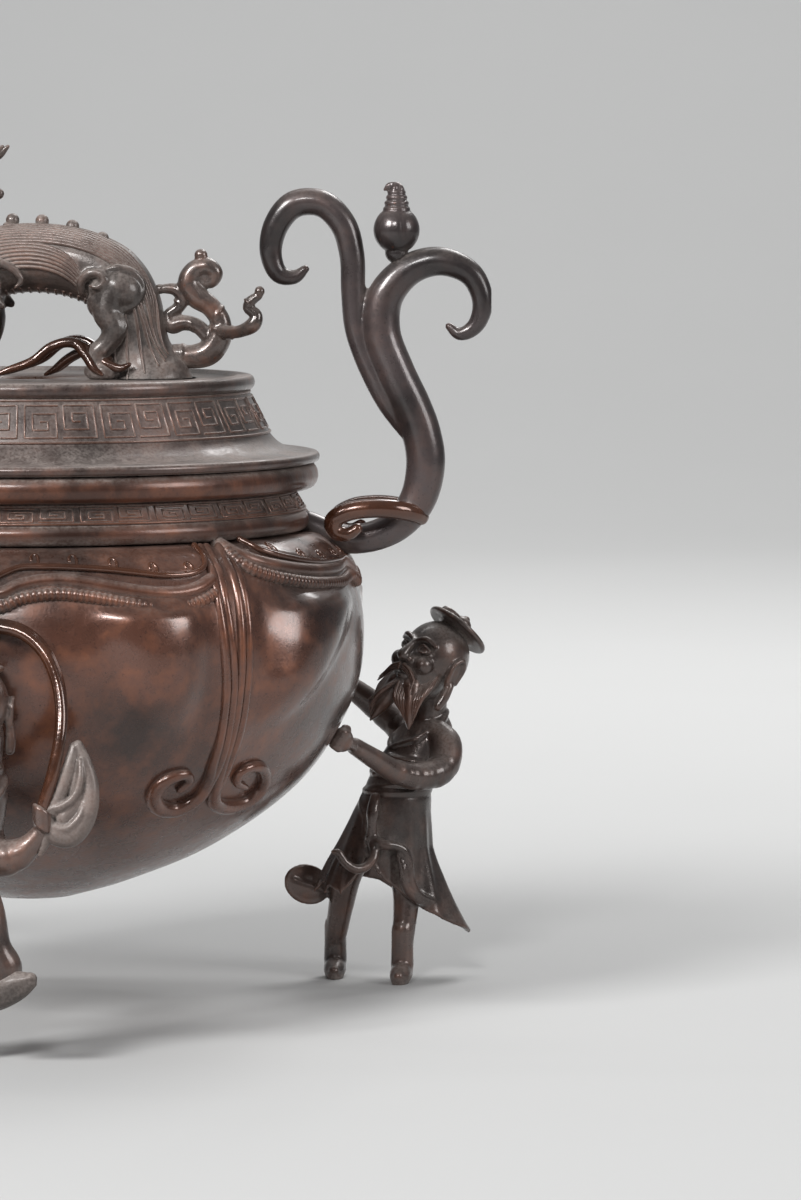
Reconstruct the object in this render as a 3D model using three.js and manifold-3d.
// Bronze incense burner: a round bowl carried by three standing figures, with two scroll handles
// and a lifting lid crowned by an arched dragon. Millimetres, +Z up.
// The origin is the centre of the small flat pad under the bowl; the figures stand below it.
import * as THREE from 'three';
import { mergeVertices } from 'three/addons/utils/BufferGeometryUtils.js';
import Module from 'manifold-3d';

const wasm = await Module();
wasm.setup();

// Driving dimensions
const ROUND_STEPS = 32;         // facets round the bowl, neck and lid
const BOWL_STEPS = 11;          // facets up the bowl's outside
const BOWL_INSIDE_STEPS = 6;    // and up its plain inside
const GAP = 0.3;                // clearance between castings that seat on each other

const FLOOR_DROP = 50;          // from the pad under the bowl down to the soles
const PAD_RADIUS = 20;
const BOWL_WALL = 4.5;
const BOWL_RADIUS = 150;
const BOWL_WIDEST_Z = 118;
const SHOULDER_LEDGE = 13;       // from the mouth out to the bowl's shoulder
const SHOULDER_Z = 165;
const RIBBON_RADIUS = 2.6;
const COLLAR_CORD_RADIUS = 3;

const MOUTH_RADIUS = 108;
const NECK_HEIGHT = 30;
const NECK_WALL = 9;             // from the mouth out to the waist
const NECK_RING_WIDTH = 18;      // and out to the ring moulding
const NECK_RING_HEIGHT = 11;
const RIM_WIDTH = 22;            // and out to the rim
const RIM_HEIGHT = 11.5;

const LID_FLANGE_SETBACK = 0.5;  // the flange stops just short of the rim
const LID_FLANGE_EDGE = 4;
const LID_FOOT_HEIGHT = 12.5;
const LID_WALL_TAPER = 9.5;
const LID_WALL_HEIGHT = 19.5;
const LID_LIP_OVERHANG = 2.5;
const LID_HEIGHT = 39;
const LID_LIP_WIDTH = 8;
const LID_DISH_DEPTH = 1.6;
const LID_THICKNESS = 3.6;
const SPIGOT_CLEARANCE = 1;
const SPIGOT_WALL = 3.5;
const SPIGOT_DEPTH = 9;
const VENT_RADIUS = 13;

const HANDLE_STEM_RADIUS = 8.8;
const HOOK_RADIUS = 4;
const GOURD_RADIUS = 10.4;
const GOURD_KNOB_RADIUS = 3.4;
const GOURD_STALK_RADIUS = 4.6;

const RIVET_RADIUS = 1.8;
const RIVET_HEAD_RADIUS = 3.6;
const RIVET_HEAD_HEIGHT = 1.6;

const FIGURE_STANDOFF = 19;     // from the widest part of the bowl to the middle of a stance
const FIGURE_ANGLE = 30;        // azimuth of the right bearer; the left one mirrors it
const HAT_RADIUS = 16;
const HAT_KNOB_RADIUS = 4.6;
const ARM_RADIUS = 7;
const HEAD_HALF_SIZES = [15.4, 14.2, 18];
const SCARF_RADIUS = 3.2;

const DRAGON_RADIUS = 15;       // half thickness of the arched trunk
const DRAGON_HALF_WIDTH = 16;   // from the middle of the trunk out to each line of feet
const SPINE_BEADS = 8;
const SPINE_BEAD_RADIUS = 3.4;

const SHOULDER_RADIUS = MOUTH_RADIUS + SHOULDER_LEDGE;
const NECK_WAIST_RADIUS = MOUTH_RADIUS + NECK_WALL;
const NECK_RING_RADIUS = MOUTH_RADIUS + NECK_RING_WIDTH;
const RIM_RADIUS = MOUTH_RADIUS + RIM_WIDTH;
const LID_FLANGE_RADIUS = RIM_RADIUS - LID_FLANGE_SETBACK;
const LID_FOOT_RADIUS = MOUTH_RADIUS;
const LID_WALL_TOP_RADIUS = LID_FOOT_RADIUS - LID_WALL_TAPER;
const LID_WALL_TOP_HEIGHT = LID_FOOT_HEIGHT + LID_WALL_HEIGHT;
const LID_LIP_RADIUS = LID_WALL_TOP_RADIUS + LID_LIP_OVERHANG;

const NECK_Z = SHOULDER_Z + GAP;
const RIM_TOP_Z = NECK_Z + NECK_HEIGHT;
const LID_Z = RIM_TOP_Z + GAP;
const LID_PLATE_Z = LID_Z + LID_HEIGHT - LID_DISH_DEPTH;
const FIGURE_ORBIT = BOWL_RADIUS + FIGURE_STANDOFF;

const rad = (degrees) => degrees * Math.PI / 180;
const v2 = (x, y) => new THREE.Vector2(x, y);
const v3 = (x, y, z) => new THREE.Vector3(x, y, z);

// Closed solids from three.js geometry, always with their faces pointing out
function facesOut(geometry) {
  const at = geometry.attributes.position;
  const index = geometry.index.array;
  const [a, b, c] = [v3(), v3(), v3()];
  let volume = 0;
  for (let i = 0; i < index.length; i += 3) {
    a.fromBufferAttribute(at, index[i]);
    b.fromBufferAttribute(at, index[i + 1]);
    c.fromBufferAttribute(at, index[i + 2]);
    volume += a.dot(b.cross(c));
  }
  for (let i = 0; volume < 0 && i < index.length; i += 3) {
    [index[i], index[i + 1]] = [index[i + 1], index[i]];
  }
  return geometry;
}

function solid(geometry) {
  const bare = geometry.clone();
  bare.deleteAttribute('normal');
  bare.deleteAttribute('uv');
  const merged = facesOut(mergeVertices(bare, 1e-4));
  return new wasm.Manifold(new wasm.Mesh({
    numProp: 3,
    vertProperties: new Float32Array(merged.attributes.position.array),
    triVerts: new Uint32Array(merged.index.array),
  }));
}

function geometryOf(manifold) {
  const mesh = manifold.getMesh();
  const geometry = new THREE.BufferGeometry();
  geometry.setAttribute('position', new THREE.BufferAttribute(new Float32Array(mesh.vertProperties), 3));
  geometry.setIndex(new THREE.BufferAttribute(new Uint32Array(mesh.triVerts), 1));
  return geometry;
}

const union = (...parts) => parts.flat().reduce((whole, part) => whole.add(part));
const moved = (manifold, matrix) => solid(geometryOf(manifold).applyMatrix4(matrix));
const turnedTo = (manifold, degrees) => moved(manifold, new THREE.Matrix4().makeRotationZ(rad(degrees)));
const mirrored = (manifold) => moved(manifold, new THREE.Matrix4().makeScale(-1, 1, 1));

// A profile of (radius, height) points turned about Z
function turned(points, steps = ROUND_STEPS) {
  return solid(new THREE.LatheGeometry(points, steps).rotateX(Math.PI / 2));
}

// A stem lofted along a smooth path: each stop is [x, y, z, radius]. Given a way out from a
// surface it is laid on, the stem keeps one of its flats turned that way.
function stem(stops, steps, sides = 6, flatten = 1, wayOut = null) {
  const path = new THREE.CatmullRomCurve3(stops.map(([x, y, z]) => v3(x, y, z)), false, 'centripetal');
  const thickness = new THREE.CatmullRomCurve3(stops.map((stop, i) => v3(i, stop[3], 0)), false, 'catmullrom', 0.3);
  const frames = path.computeFrenetFrames(steps, false);
  const positions = [];
  const faces = [];
  for (let i = 0; i <= steps; i++) {
    const centre = path.getPoint(i / steps);
    const radius = Math.max(0.6, thickness.getPoint(i / steps).y);
    const tangent = path.getTangent(i / steps);
    const lead = wayOut ? wayOut(centre).cross(tangent) : frames.normals[i].clone();
    const side = lead.addScaledVector(tangent, -lead.dot(tangent)).normalize();
    const up = tangent.clone().cross(side).normalize();
    for (let j = 0; j < sides; j++) {
      const turn = (j + 0.5) / sides * 2 * Math.PI;
      positions.push(centre.clone()
        .addScaledVector(side, radius * Math.cos(turn))
        .addScaledVector(up, radius * flatten * Math.sin(turn)));
    }
  }
  const first = positions.push(path.getPoint(0)) - 1;
  const last = positions.push(path.getPoint(1)) - 1;
  for (let j = 0; j < sides; j++) {
    const next = (j + 1) % sides;
    faces.push([first, next, j], [last, steps * sides + j, steps * sides + next]);
    for (let i = 0; i < steps; i++) {
      const a = i * sides + j;
      const b = i * sides + next;
      faces.push([a, b, b + sides], [a, b + sides, a + sides]);
    }
  }
  const geometry = new THREE.BufferGeometry().setFromPoints(positions);
  geometry.setIndex(faces.flat());
  return solid(geometry);
}

// An ellipsoid with its own half sizes, leaned over towards +X by some degrees
function bulb([x, y, z], [a, b, c], lean = 0, detail = 6) {
  const geometry = new THREE.SphereGeometry(1, detail, Math.ceil(detail * 0.6)).rotateX(Math.PI / 2);
  return solid(geometry.scale(a, b, c).rotateY(rad(lean)).translate(x, y, z));
}

// A round pin from a point along a direction
function pin(from, direction, length, radius, sides = 6) {
  const upright = new THREE.CylinderGeometry(radius, radius, length, sides).translate(0, length / 2, 0);
  upright.applyQuaternion(new THREE.Quaternion().setFromUnitVectors(v3(0, 1, 0), direction));
  return solid(upright.translate(from.x, from.y, from.z));
}

// A rivet with its head against an inner wall; grown by the clearance it is also its own hole
function rivet(seat, direction, length, grow = 0) {
  const away = direction.clone().normalize();
  const back = RIVET_HEAD_HEIGHT + grow * RIVET_HEAD_RADIUS * 3;
  return union(
    pin(seat.clone().addScaledVector(away, -back / 2), away, length + back / 2 + grow, RIVET_RADIUS + grow),
    pin(seat.clone().addScaledVector(away, -back), away, back + grow, RIVET_HEAD_RADIUS + grow));
}

const everythingBelow = (z, size = 600) => solid(new THREE.BoxGeometry(size, size, size).translate(0, 0, z - size / 2));
const everythingAbove = (z, size = 600) => solid(new THREE.BoxGeometry(size, size, size).translate(0, 0, z + size / 2));

// The bowl's outside runs from the pad to the widest part, then closes to the shoulder
const BOWL_LOWER = [[0, 0], [0.21, 0.07], [0.5, 0.21], [0.79, 0.45], [0.96, 0.75], [1, 1]];
const BOWL_UPPER = [[0.86, 0.51], [0.48, 0.83], [0, 1]];
const mix = THREE.MathUtils.lerp;
const bowlCurve = new THREE.SplineCurve([
  ...BOWL_LOWER.map(([r, z]) => v2(mix(PAD_RADIUS, BOWL_RADIUS, r), BOWL_WIDEST_Z * z)),
  ...BOWL_UPPER.map(([r, z]) => v2(mix(SHOULDER_RADIUS, BOWL_RADIUS, r), mix(BOWL_WIDEST_Z, SHOULDER_Z, z))),
]);

function bowlOutline(steps, offset) {
  return Array.from({ length: steps + 1 }, (_, i) => {
    const point = bowlCurve.getPoint(i / steps);
    const tangent = bowlCurve.getTangent(i / steps);
    return v2(point.x + tangent.y * offset, point.y - tangent.x * offset);
  });
}

// A place on the bowl at an azimuth and height, with the outward direction there
function bowlSeat(degrees, z) {
  let [low, high] = [0, 1];
  while (high - low > 1e-5) {
    const middle = (low + high) / 2;
    if (bowlCurve.getPoint(middle).y < z) low = middle;
    else high = middle;
  }
  const point = bowlCurve.getPoint(low);
  const tangent = bowlCurve.getTangent(low);
  const around = (radius, height) => v3(radius * Math.cos(rad(degrees)), radius * Math.sin(rad(degrees)), height);
  return { point: around(point.x, point.y), out: around(tangent.y, -tangent.x) };
}

function bowlShell() {
  const outside = bowlOutline(BOWL_STEPS, 0);
  const inside = bowlOutline(BOWL_INSIDE_STEPS, -BOWL_WALL);
  inside[0] = v2(PAD_RADIUS, BOWL_WALL);
  inside[BOWL_INSIDE_STEPS] = v2(SHOULDER_RADIUS - 2 * BOWL_WALL, SHOULDER_Z);
  return turned([v2(0, 0), ...outside, ...inside.reverse(), v2(0, BOWL_WALL)]);
}

// Two ribbons hang at each of the four ties and curl apart, and a scalloped cord runs from tie to tie.
// Stops are degrees round from the first tie and millimetres down from the shoulder.
const FIRST_TIE = -45;
const RIBBONS = [
  [[-2, 4], [-4.2, 23], [-3.8, 50], [-2.6, 80], [-2.2, 103], [-7, 116], [-12.5, 112], [-12.5, 101], [-7, 99]],
  [[2.6, 4], [-0.4, 22], [-0.9, 55], [-0.3, 90], [0.6, 109], [8, 117], [15.3, 112], [13, 100], [5, 98]],
];
const CORDS = [
  [[-45, 24], [-40, 21], [-32, 19], [-20, 24], [-11, 25], [-6, 21]],
  [[3.5, 8], [8, 14], [21, 20], [32, 21], [40, 18], [45, 23]],
];

function bowlRelief() {
  const wayOut = (point) => point.clone().sub(v3(0, 0, BOWL_WIDEST_Z)).normalize();
  const strand = (stops, radius, steps) => stem(stops.map(([degrees, drop]) => [
    ...bowlSeat(FIRST_TIE + degrees, SHOULDER_Z - drop).point.toArray(), radius * Math.SQRT2,
  ]), steps, 4, 1, wayOut);
  const quarter = union(
    RIBBONS.map((stops) => strand(stops, RIBBON_RADIUS, 9)),
    CORDS.map((stops) => strand(stops, COLLAR_CORD_RADIUS, 6)));
  const half = union(quarter, mirrored(quarter));
  return union(half, turnedTo(half, 180));
}

// What every piece that seats on the bowl or the neck ring is trimmed by
function seatEnvelope() {
  const ringBulge = NECK_RING_HEIGHT / 3;
  return turned([
    v2(0, -GAP), ...bowlOutline(BOWL_STEPS, GAP), v2(NECK_RING_RADIUS - ringBulge, SHOULDER_Z + GAP / 2),
    v2(NECK_RING_RADIUS + GAP, NECK_Z + ringBulge - GAP),
    v2(NECK_RING_RADIUS + GAP, NECK_Z + NECK_RING_HEIGHT - ringBulge + GAP),
    v2(NECK_RING_RADIUS - ringBulge, NECK_Z + NECK_RING_HEIGHT + GAP),
    v2(NECK_WAIST_RADIUS + GAP, NECK_Z + NECK_RING_HEIGHT + 2), v2(0, NECK_Z + NECK_RING_HEIGHT + 2),
  ]);
}

// A ring moulding, a waisted band and a thick rounded lip
function neckCasting() {
  const bead = (radius, height, bottom) => new THREE.EllipseCurve(
    radius - height / 3, bottom + height / 2, height / 3, height / 2, -Math.PI / 2, Math.PI / 2).getPoints(3);
  return turned([
    v2(MOUTH_RADIUS, NECK_Z), ...bead(NECK_RING_RADIUS, NECK_RING_HEIGHT, NECK_Z),
    v2(NECK_WAIST_RADIUS, NECK_Z + NECK_RING_HEIGHT + 2),
    ...bead(RIM_RADIUS, RIM_HEIGHT, RIM_TOP_Z - RIM_HEIGHT),
    v2(MOUTH_RADIUS, RIM_TOP_Z), v2(MOUTH_RADIUS, NECK_Z),
  ]);
}

// A spigot inside the mouth, a flange on the rim, a tapered wall and a dished top with a vent
function lidCasting() {
  const spigot = MOUTH_RADIUS - SPIGOT_CLEARANCE;
  const inner = spigot - SPIGOT_WALL;
  const underside = LID_PLATE_Z - LID_THICKNESS;
  const cove = new THREE.QuadraticBezierCurve(
    v2(LID_FLANGE_RADIUS, LID_Z + LID_FLANGE_EDGE),
    v2(LID_FOOT_RADIUS + 4, LID_Z + LID_FLANGE_EDGE + 2), v2(LID_FOOT_RADIUS, LID_Z + LID_FOOT_HEIGHT));
  return turned([
    v2(inner, LID_Z - SPIGOT_DEPTH), v2(spigot, LID_Z - SPIGOT_DEPTH), v2(spigot, LID_Z),
    v2(LID_FLANGE_RADIUS - 2, LID_Z), v2(LID_FLANGE_RADIUS + 0.6, LID_Z + LID_FLANGE_EDGE / 2),
    ...cove.getPoints(3),
    v2(LID_WALL_TOP_RADIUS, LID_Z + LID_WALL_TOP_HEIGHT), v2(LID_LIP_RADIUS, LID_Z + LID_WALL_TOP_HEIGHT + 1.5),
    v2(LID_LIP_RADIUS, LID_Z + LID_HEIGHT - 1.5), v2(LID_LIP_RADIUS - 2, LID_Z + LID_HEIGHT),
    v2(LID_LIP_RADIUS - LID_LIP_WIDTH, LID_Z + LID_HEIGHT),
    v2(LID_LIP_RADIUS - LID_LIP_WIDTH - LID_DISH_DEPTH, LID_PLATE_Z),
    v2(VENT_RADIUS, LID_PLATE_Z), v2(VENT_RADIUS, underside),
    v2(LID_WALL_TOP_RADIUS - LID_THICKNESS, underside), v2(inner, LID_Z + LID_FOOT_HEIGHT / 2),
    v2(inner, LID_Z - SPIGOT_DEPTH),
  ]);
}

// One scroll handle in the XZ plane on the +X side, measured out from the neck ring
const handleStop = ([out, y, z, radius]) => [NECK_RING_RADIUS + out, y, SHOULDER_Z + z, radius];

function handleCasting() {
  const thick = HANDLE_STEM_RADIUS;
  const main = stem([
    [-2, 0, 3, 6], [18, 0, -4, 6.6], [37, 0, 1, 7.2], [48, 0, 13, 8.2], [52, 0, 30, thick], [50, 0, 44, thick],
    [46, 0, 55, thick], [38, 0, 72, thick], [32, 0, 89, thick], [34, 0, 105, 8.2], [45, 0, 117, 7.2],
    [59, 0, 120.5, 6.5], [72.5, 0, 114.5, 5.5], [77.5, 0, 102, 4.7], [74, 0, 91.5, 3.8], [67, 0, 88, 2.9],
    [62.5, 0, 91.5, 1.8],
  ].map(handleStop), 24, 7);
  const branch = stem([
    [42, 0, 46, 4], [35, 0, 57, 4.8], [27, 0, 73, 5], [21, 0, 90, 5.2], [19.5, 0, 107, 5.4], [19, 0, 123, 5.6],
    [15, 0, 137, 5.9], [5.5, 0, 146.5, 6.1], [-8, 0, 146, 6.1], [-15.5, 0, 136, 5.6], [-18, 0, 123, 4.8],
    [-13.5, 0, 113.5, 4], [-6.5, 0, 113, 3], [-1.5, 0, 118, 1.8],
  ].map(handleStop), 19, 6);
  const hooks = [-1, 1].map((side) => stem([
    [48, side * 3, 7, HOOK_RADIUS], [42, side * 10, 9, HOOK_RADIUS], [30, side * 15, 10.5, HOOK_RADIUS],
    [18, side * 16, 9.5, HOOK_RADIUS], [11, side * 15.5, 5, HOOK_RADIUS], [13, side * 14.5, -0.5, 3],
    [20, side * 14, -0.5, 2.6],
  ].map(handleStop), 8, 5));
  return union(main, branch, hooks);
}

// The gourd bud that sits in the fork of a handle, with its knob
function gourdCasting(grow = 0) {
  const [x, y, z] = handleStop([39, 0, 134.5]);
  return union(
    bulb([x, y, z], Array(3).fill(GOURD_RADIUS + grow), 0, 10),
    bulb([x, y, z - GOURD_RADIUS], Array(3).fill(GOURD_STALK_RADIUS + grow)),
    bulb([x, y, z + GOURD_RADIUS], [5.6, 5.6, 4.5]),
    bulb([x, y, z + GOURD_RADIUS + 2 * GOURD_KNOB_RADIUS], Array(3).fill(GOURD_KNOB_RADIUS)));
}

// Figures stand at azimuth 0: each stop is measured outwards, sideways and up from the middle of the stance
const stance = ([x, y, z, ...rest]) => [FIGURE_ORBIT + x, y, z - FLOOR_DROP, ...rest];
const limb = (stops, steps, sides, flatten) => stem(stops.map(stance), steps, sides, flatten);
const lump = (place, halfSizes, lean, detail) => bulb(stance(place), halfSizes, lean, detail);

function boot(heel, toe, height) {
  const [back, middle] = [1.4, 0.5].map((share) => heel.map((value, i) => mix(toe[i], value, share)));
  return union(
    limb([[...heel, height + 22, 6.6], [...heel, height + 4, 6]], 1, 6),
    limb([[...back, height + 4, 3], [...heel, height + 4, 6], [...middle, height + 4, 7], [...toe, height + 3, 5.4],
      [...heel.map((value, i) => mix(toe[i], value, -0.5)), height + 4, 2]], 4, 6));
}

// A hand closed on the bowl, at the end of an arm
function armToBowl(stops, [degrees, z], steps) {
  const { point, out } = bowlSeat(degrees, z);
  const palm = point.clone().addScaledVector(out, 2.5).toArray();
  return union(stem([...stops.map(stance), [...palm, 4.6]], steps, 5), bulb(palm, [6.5, 6.5, 7]));
}

// A head that faces the bowl, or away from it where facing is -1
function headAndBeard([x, y, z], lean, facing = 1) {
  const front = (out) => x - facing * out;
  const strand = (spread, down) => limb([
    [front(8), y + spread * 0.3, z - 8, 5.6], [front(14), y + spread * 0.7, z - 18, 5],
    [front(17), y + spread, z - down, 1.6],
  ], 3, 4);
  return union(
    lump([x, y, z], HEAD_HALF_SIZES, lean, 8), limb([[front(2), y, z - 27, 9], [x, y, z - 12, 7.5]], 1, 6),
    lump([front(HEAD_HALF_SIZES[0]), y, z + 1], [3, 2.6, 4], lean, 5),
    strand(-7, 31), strand(5, 30));
}

// A hat is turned about its own leaning axis; the head below is cut flat to carry it
const HAT_CROWN_DEPTH = 6;
const hatMatrix = (place, lean) => new THREE.Matrix4()
  .makeTranslation(...stance(place)).multiply(new THREE.Matrix4().makeRotationY(rad(lean)));

function hatCasting(place, lean, radius) {
  const knob = HAT_KNOB_RADIUS;
  return moved(turned([
    v2(0, -HAT_CROWN_DEPTH), v2(radius * 0.66, -HAT_CROWN_DEPTH), v2(radius * 0.75, -3), v2(radius, -2),
    v2(radius, 2), v2(radius * 0.5, 3.6), v2(knob * 0.8, 4.4), v2(knob, 4.4 + knob * 0.8),
    v2(0, 4.4 + knob * 1.8),
  ], 10), hatMatrix(place, lean));
}

const hatSeat = (place, lean) => moved(turned([
  v2(0, -HAT_CROWN_DEPTH - GAP), v2(30, -HAT_CROWN_DEPTH - GAP), v2(30, 20), v2(0, 20),
], 6), hatMatrix(place, lean));

// A bearer leans out and holds the bowl with both hands
const BEARER_HANDS = { near: [-22.5, 71], far: [9, 96] };
const BEARER_HAT = [[45, -4, 164], 40];

function bearer() {
  const robe = union(
    limb([[11, 0, 44, 14], [14, 0, 62, 15.5], [16, 0, 80, 15.5], [22, 0, 96, 16], [29, 0, 110, 14], [31, -2, 122, 7]],
      6, 8, 0.9),
    limb([[13, 0, 62, 15], [18, -1, 44, 17], [31, -3, 30, 11], [46, -5, 20, 2]], 3, 7, 0.9),
    limb([[12, 2, 72, 13], [2, 5, 60, 12], [-6, 8, 52, 9]], 2, 7));
  const legs = union(
    limb([[4, 10, 58, 9], [-5, 15, 36, 7], [-9, 17, 14, 5.6]], 2, 6), boot([-8, 18], [-13, 9], 0),
    limb([[15, -5, 56, 9], [15, -10, 36, 7], [12, -12, 14, 5.6]], 2, 6), boot([12, -12], [6, -21], 0));
  const arms = union(
    armToBowl([[33, -13, 113, ARM_RADIUS], [33, -22, 106, ARM_RADIUS], [23, -27, 97, ARM_RADIUS], [4, -31, 100, 6.2],
      [-15, -36, 108, 5.2], [-31, -44, 116, 4.2]], BEARER_HANDS.near, 8),
    armToBowl([[30, 11, 112, ARM_RADIUS], [31, 26, 112, ARM_RADIUS], [22, 34, 124, 6.2], [4, 38, 137, 5]],
      BEARER_HANDS.far, 5));
  const sash = union(
    limb([[4, -8, 72, 4], [-5, -12, 60, 2.8], [-14, -14, 56, 2.4], [-20, -14, 62, 1.8]], 4, 4),
    limb([[8, -13, 68, 3], [12, -16, 56, 2.6], [15, -17, 45, 2.6], [27, -17, 38, 1.8]], 4, 4),
    limb([[0, 14, 52, 5], [-12, 20, 45, 7], [-28, 21, 37, 2]], 3, 5, 0.5));
  return union(robe, legs, arms, sash, headAndBeard([31, -4, 147], 36)).subtract(hatSeat(...BEARER_HAT));
}

// The front figure stands on one foot and holds a long scarf over the head
const DANCER_HAT = [[-8, 0, 166], 0];
const DANCER_BACK = [0, 103];

function dancer() {
  const robe = union(
    limb([[0, -8, 44, 14], [0, -8, 62, 15], [-1, -8, 80, 15], [-3, -7, 98, 16], [-5, -5, 112, 14], [-6, -2, 122, 7]],
      6, 8, 0.9),
    limb([[0, -9, 60, 15], [2, -13, 42, 16], [5, -23, 30, 9], [7, -30, 22, 2]], 3, 7, 0.9),
    limb([[2, -4, 62, 10], [11, 0, 70, 8.6], [14, 4, 61, 8.2], [15, 8, 48, 6.4], [14, 10, 34, 5.4]], 5, 6));
  const legs = union(
    limb([[2, -6, 56, 9], [3, -9, 34, 7.5], [2, -10, 16, 6]], 2, 6), boot([2, -10], [13, -15], 0),
    limb([[12, 4, 26, 4], [15, 9, 30, 6.4], [18, 16, 34, 5.6], [20, 22, 38, 3.2]], 4, 6));
  const arms = [-1, 1].map((side) => union(
    limb([[-5, side * 11 - 5, 108, ARM_RADIUS], [-3, side * 16 - 4, 97, ARM_RADIUS],
      [0, side * 14 - 2, 87, ARM_RADIUS], [2, side * 20, 89, 6], [3, side * 26, 98, 4.8], [3, side * 28, 106, 4.8]], 7, 5),
    lump([3, side * 28, 107], [5.6, 5.6, 6.4]),
    limb([[2, side * 28, 98, 5], [0, side * 38, 100, 8], [-1, side * 42, 114, 8], [-2, side * 44, 126, 4.6],
      [-2, side * 41, 135, 1.4]], 4, 5, 0.6)));
  return union(robe, legs, arms, headAndBeard([-8, 0, 148], 0, -1))
    .subtract(hatSeat(...DANCER_HAT));
}

function scarfCasting(grow = 0) {
  const half = [[3, 28, 104], [2, 32, 118], [-2, 36, 138], [-8, 35, 158], [-13, 26, 176], [-16, 10, 184]];
  const turn = (side) => half.map(([x, y, z]) => [x, side * y, z, SCARF_RADIUS + grow]);
  return limb([...turn(-1), ...turn(1).reverse()], 18, 5);
}

// The dragon stands on the lid's plate: heights are measured up from it
const perch = ([x, y, z, ...rest]) => [x, y, LID_PLATE_Z + GAP + z, ...rest];
const scroll = (stops, steps, sides, flatten) => stem(stops.map(perch), steps, sides, flatten);
const TRUNK = [
  [52, -8, 1.25], [50, 5, 1.08], [47, 20, 0.97], [45, 33, 1], [39, 45, 1], [25, 53, 1], [6, 56, 1], [-13, 54, 1],
  [-26, 47, 1], [-32, 36, 0.95], [-30, 25, 0.7], [-26, 18, 0.3],
];

const trunk = (grow = 0) => scroll(TRUNK.map(([x, z, share]) => [x, 0, z, share * DRAGON_RADIUS + grow]), 14, 8);

function spineBeads(grow = 0) {
  const ridge = new THREE.CatmullRomCurve3(TRUNK.map(([x, z]) => v3(...perch([x, 0, z]))), false, 'centripetal');
  return Array.from({ length: SPINE_BEADS }, (_, i) => {
    const along = 0.3 + 0.38 * i / (SPINE_BEADS - 1);
    const tangent = ridge.getTangent(along);
    const top = ridge.getPoint(along).add(v3(tangent.z, 0, -tangent.x).multiplyScalar(DRAGON_RADIUS));
    return bulb(top.toArray(), Array(3).fill(SPINE_BEAD_RADIUS + grow), 0, 5);
  });
}

const FEET = { hind: 34, fore: -29 };

function leg(side, haunch, halfSizes, knee, heel, foot, reach) {
  const y = side * DRAGON_HALF_WIDTH;
  const toes = [-1, 0, 1].map((toe) => scroll([
    [foot, y + toe * 2, 7, 2.8], [foot - reach * 0.3, y + toe * 5, 13, 2.6],
    [foot - reach * 0.7, y + toe * 7, 5, 2.4], [foot - reach, y + toe * 9, 2, 1.4],
  ], 4, 4));
  return union(
    bulb(perch([haunch[0], side * 11, haunch[1]]), halfSizes, 0, 7),
    scroll([[haunch[0], y * 0.9, haunch[1], 8], [knee[0], y, knee[1], 6], [heel[0], y, heel[1], 5.4],
      [foot, y, 4, 5.4]], 4, 5),
    bulb(perch([foot, y, 3]), [8, 6.5, 5.4]), toes);
}

function dragonBody() {
  const legs = [-1, 1].flatMap((side) => [
    leg(side, [39, 41], [12, 9, 11], [37, 28], [40, 19], FEET.hind, 46),
    leg(side, [-23, 38], [11, 9, 13], [-20, 20], [-25, 9], FEET.fore, 28),
  ]);
  return union(trunk(), spineBeads(), legs).subtract(everythingBelow(LID_PLATE_Z + GAP));
}

function dragonHead() {
  const neck = scroll([[-22, 0, 44, 12], [-33, 0, 60, 12.5], [-37, 0, 76, 11.5], [-36, 0, 90, 10.5]], 4, 8);
  const crown = union(
    bulb(perch([-42, 0, 97]), [14, 11, 10], 10, 8),
    scroll([[-48, 0, 95, 9], [-60, 0, 92, 8], [-71, 0, 91, 6.6], [-76, 0, 92, 4]], 4, 7),
    scroll([[-44, 0, 88, 6], [-57, 0, 81, 4.8], [-67, 0, 79, 3]], 3, 6),
    bulb(perch([-73, 0, 97]), [3.6, 4.4, 3], 0, 5));
  const mane = [-1, 1].flatMap((side) => [
    bulb(perch([-52, side * 7.5, 102]), [4, 3.4, 4], 0, 5),
    scroll([[-40, side * 6, 104, 3.4], [-30, side * 8, 111, 2.8], [-16, side * 9, 113, 1.2]], 4, 4),
    scroll([[-36, side * 9, 95, 4.4], [-24, side * 11, 97, 3.6], [-9, side * 11, 101, 1.2]], 4, 4),
    scroll([[-38, side * 9, 82, 4.4], [-27, side * 11, 81, 3.4], [-17, side * 11, 85, 1.2]], 4, 4),
  ]);
  return union(neck, crown, mane).subtract(union(trunk(GAP), spineBeads(GAP)));
}

// A curling main stem with a hooked branch each side
function dragonTail() {
  return union(
    scroll([[57.5, 0, 24, 5], [65, 0, 14, 5.6], [76, 0, 9, 6], [85, 0, 17, 5.8], [84, 0, 30, 5.6], [77, 0, 39, 5],
      [79, 0, 48, 3.8], [84, 0, 50, 2.6]], 11, 6),
    scroll([[80, 0, 20, 4.6], [70, 0, 23, 4.2], [65, 0, 32, 3.8], [70, 0, 40, 2]], 6, 5),
    scroll([[84, -2, 20, 4.6], [93, -11, 17, 4], [100, -15, 24, 3.6], [98, -15, 32, 3], [102, -15, 38, 1.6]], 7, 5),
  ).subtract(union(trunk(GAP), spineBeads(GAP)));
}

// Finishes and placing
const bronze = (r, g, b, roughness = 0.42) => new THREE.MeshStandardMaterial({
  color: new THREE.Color(r, g, b), roughness, metalness: 0.85,
});
const group = new THREE.Group();

function add(name, manifold, material) {
  const mesh = new THREE.Mesh(geometryOf(manifold), material);
  mesh.name = name;
  group.add(mesh);
}

const envelope = seatEnvelope();
const bowlHoles = [];

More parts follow.
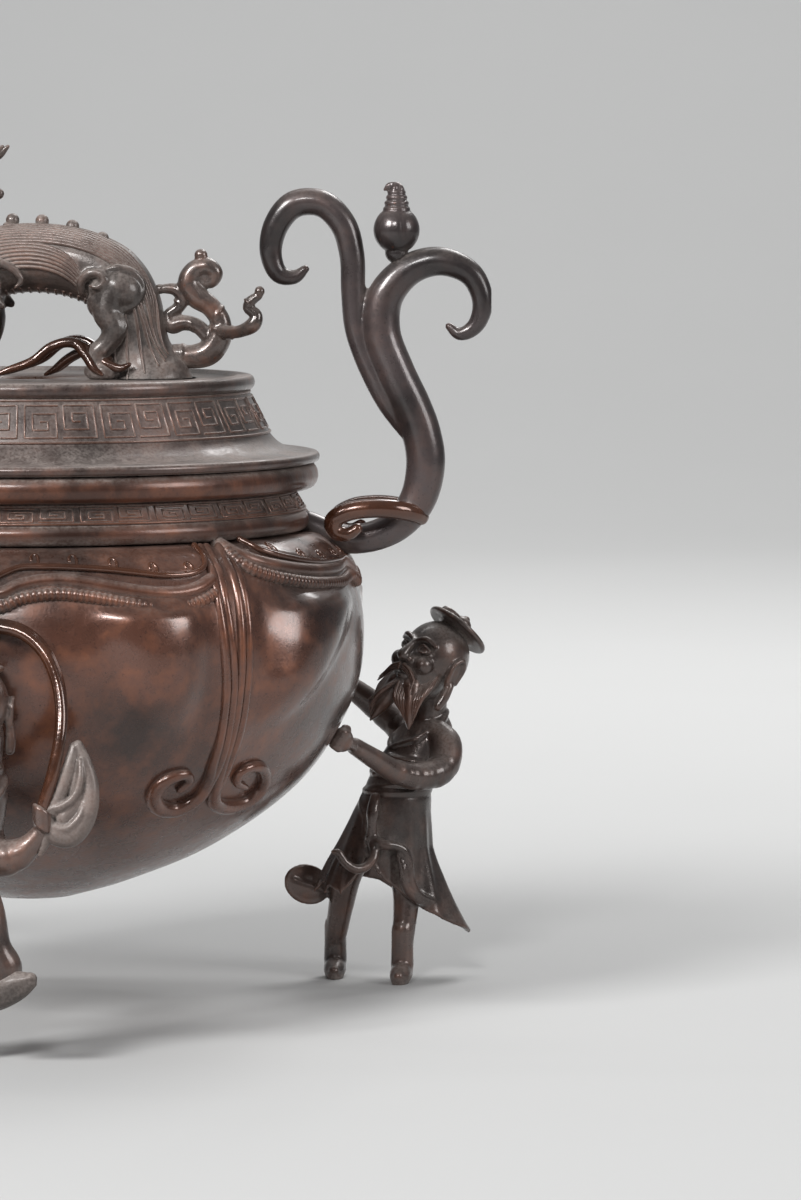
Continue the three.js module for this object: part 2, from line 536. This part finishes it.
// Handles with their gourds, each held by a rivet through the neck ring
const handleSeat = v3(MOUTH_RADIUS, 0, NECK_Z + NECK_RING_HEIGHT / 2);
const handleRivetAxis = v3(1, 0, -0.3);
const handleRivetLength = 1.15 * (NECK_RING_RADIUS - MOUTH_RADIUS) + 6;
const handleHole = rivet(handleSeat, handleRivetAxis, handleRivetLength, GAP);
const handle = handleCasting().subtract(envelope).subtract(gourdCasting(GAP)).subtract(handleHole);
const handleRivet = rivet(handleSeat, handleRivetAxis, handleRivetLength);
for (const [side, put] of [['right', (piece) => piece], ['left', mirrored]]) {
  add('handle_' + side, put(handle), bronze(0.17, 0.13, 0.13));
  add('gourd_' + side, put(gourdCasting()), bronze(0.17, 0.13, 0.13));
  add('handle_rivet_' + side, put(handleRivet), bronze(0.22, 0.16, 0.12));
}

// A rivet from inside the bowl into a piece that touches it at [azimuth, height]
function bowlRivet([degrees, z], grow = 0) {
  const { point, out } = bowlSeat(degrees, z);
  return rivet(point.addScaledVector(out, -BOWL_WALL), out, BOWL_WALL + 4, grow);
}

const nearHand = [BEARER_HANDS.near[0] + FIGURE_ANGLE, BEARER_HANDS.near[1]];
const farHand = [BEARER_HANDS.far[0] + FIGURE_ANGLE, BEARER_HANDS.far[1]];
const handHoles = [bowlRivet(nearHand, GAP), bowlRivet(farHand, GAP)];
const figure = turnedTo(bearer(), FIGURE_ANGLE)
  .subtract(everythingBelow(-FLOOR_DROP)).subtract(envelope).subtract(union(handHoles));
const hat = turnedTo(hatCasting(...BEARER_HAT, HAT_RADIUS), FIGURE_ANGLE);
bowlHoles.push(...handHoles, ...handHoles.map(mirrored));
for (const [side, put] of [['right', (piece) => piece], ['left', mirrored]]) {
  add('figure_' + side, put(figure), bronze(0.17, 0.11, 0.09));
  add('hat_' + side, put(hat), bronze(0.17, 0.11, 0.09));
  add('near_hand_rivet_' + side, put(bowlRivet(nearHand)), bronze(0.22, 0.16, 0.12));
  add('far_hand_rivet_' + side, put(bowlRivet(farHand)), bronze(0.22, 0.16, 0.12));
}

const backPlace = [DANCER_BACK[0] - 90, DANCER_BACK[1]];
const backHole = bowlRivet(backPlace, GAP);
bowlHoles.push(backHole);
add('figure_front', turnedTo(dancer().subtract(scarfCasting(GAP)), -90)
  .subtract(everythingBelow(-FLOOR_DROP)).subtract(envelope).subtract(backHole), bronze(0.17, 0.11, 0.09));
add('hat_front', turnedTo(hatCasting(...DANCER_HAT, HAT_RADIUS * 0.7), -90), bronze(0.17, 0.11, 0.09));
add('scarf', turnedTo(scarfCasting(), -90).subtract(envelope), bronze(0.2, 0.1, 0.06, 0.3));
add('back_rivet', bowlRivet(backPlace), bronze(0.22, 0.16, 0.12));

add('bowl', union(bowlShell(), bowlRelief()).subtract(everythingAbove(SHOULDER_Z)).subtract(union(bowlHoles)),
  bronze(0.24, 0.14, 0.1));
add('neck', neckCasting().subtract(handleHole).subtract(mirrored(handleHole)), bronze(0.2, 0.13, 0.11));

// The lid with its dragon, whose feet are riveted from below
const footPlaces = [-1, 1].flatMap((side) => Object.entries(FEET).map(([name, x]) => [
  name + (side < 0 ? '_near' : '_far'), v3(x, side * DRAGON_HALF_WIDTH, LID_PLATE_Z - LID_THICKNESS),
]));
const footRivet = (place, grow) => rivet(place, v3(0, 0, 1), LID_THICKNESS + 4, grow);
const footHoles = union(footPlaces.map(([, place]) => footRivet(place, GAP)));
add('lid', lidCasting().subtract(footHoles), bronze(0.18, 0.13, 0.12));
add('dragon_body', dragonBody().subtract(footHoles), bronze(0.2, 0.17, 0.16, 0.55));
add('dragon_head', dragonHead(), bronze(0.2, 0.17, 0.16, 0.55));
add('dragon_tail', dragonTail(), bronze(0.2, 0.17, 0.16, 0.55));
for (const [name, place] of footPlaces) add('foot_rivet_' + name, footRivet(place), bronze(0.22, 0.16, 0.12));

export default group;
